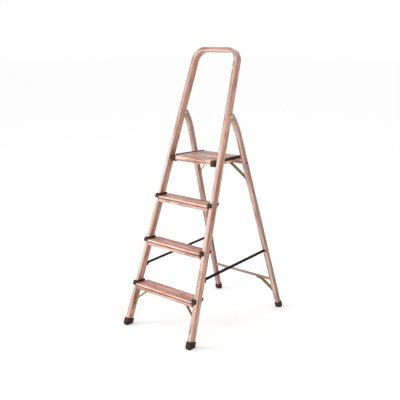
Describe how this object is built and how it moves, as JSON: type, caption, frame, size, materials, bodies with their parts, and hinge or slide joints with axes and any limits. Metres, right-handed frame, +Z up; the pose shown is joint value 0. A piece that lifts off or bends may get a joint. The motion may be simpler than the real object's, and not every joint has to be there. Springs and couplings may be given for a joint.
{
  "type": "folding step ladder",
  "caption": "Folding step ladder with a leaning bow-topped front frame, flat treads, a hinged standing platform, and a braced rear frame that folds in behind it.",
  "frame": {"origin": "on the floor, at the middle of the ground the ladder stands on", "axes": "+Z up, +Y from the treads towards the rear legs, +X to the right of a person facing the treads; the X = 0 plane is the plane of symmetry"},
  "size_m": [0.5174, 0.8418, 1.5577],
  "materials": {
    "tube_wood_look": "satin wood-look film with a grain along the tube",
    "tread_wood_look": "satin wood-look film with a grain along the tread",
    "rail_wood_look": "satin wood-look film",
    "brown_plastic": "fine-grained, matt",
    "black_webbing": "woven webbing",
    "yellow_steel": "yellow-passivated zinc on flat steel",
    "zinc_steel": "zinc-plated",
    "rivet_metal": "satin rivet metal"
  },
  "bodies": {
    "front_frame": {"tread_lower": "tread_wood_look", "tread_clip_lower_right": "brown_plastic", "tread_clip_lower_left": "brown_plastic", "tread_middle": "tread_wood_look", "tread_clip_middle_right": "brown_plastic", "tread_clip_middle_left": "brown_plastic", "tread_upper": "tread_wood_look", "tread_clip_upper_right": "brown_plastic", "tread_clip_upper_left": "brown_plastic", "front_boot_right": "brown_plastic", "front_boot_left": "brown_plastic", "step_brace_right": "yellow_steel", "step_brace_left": "yellow_steel", "step_brace_rivets": "rivet_metal", "hinge_pins": "rivet_metal", "strap_right": "black_webbing", "strap_left": "black_webbing", "strap_plate_right": "zinc_steel", "strap_plate_left": "zinc_steel", "strap_plate_rivets": "rivet_metal", "platform_pins": "rivet_metal", "front_frame_tube": "tube_wood_look"},
    "rear_frame": {"rear_leg_right": "tube_wood_look", "rear_leg_left": "tube_wood_look", "upper_rail": "rail_wood_look", "lower_rail": "rail_wood_look", "rail_rivets": "rivet_metal", "upper_brace_right": "yellow_steel", "upper_brace_left": "yellow_steel", "lower_brace_right": "yellow_steel", "lower_brace_left": "yellow_steel", "knee_brace_rivets": "rivet_metal", "rear_boot_right": "brown_plastic", "rear_boot_left": "brown_plastic", "strap_clip_right": "zinc_steel", "strap_clip_left": "zinc_steel", "strap_clip_rivets": "rivet_metal"},
    "platform": {"platform_board": "tread_wood_look", "platform_end_right": "brown_plastic", "platform_end_left": "brown_plastic"}
  },
  "joints": [
    {"name": "fold", "type": "hinge", "parent": "front_frame", "child": "rear_frame", "pos_m": [0, 0.00173, 1.193], "axis": [-1, 0, 0], "range_deg": [0, 35.11], "deforming": ["strap_right", "strap_left"]},
    {"name": "platform_lift", "type": "hinge", "parent": "front_frame", "child": "platform", "pos_m": [0, -0.09522, 0.946], "axis": [1, 0, 0], "range_deg": [0, 72]}
  ]
}
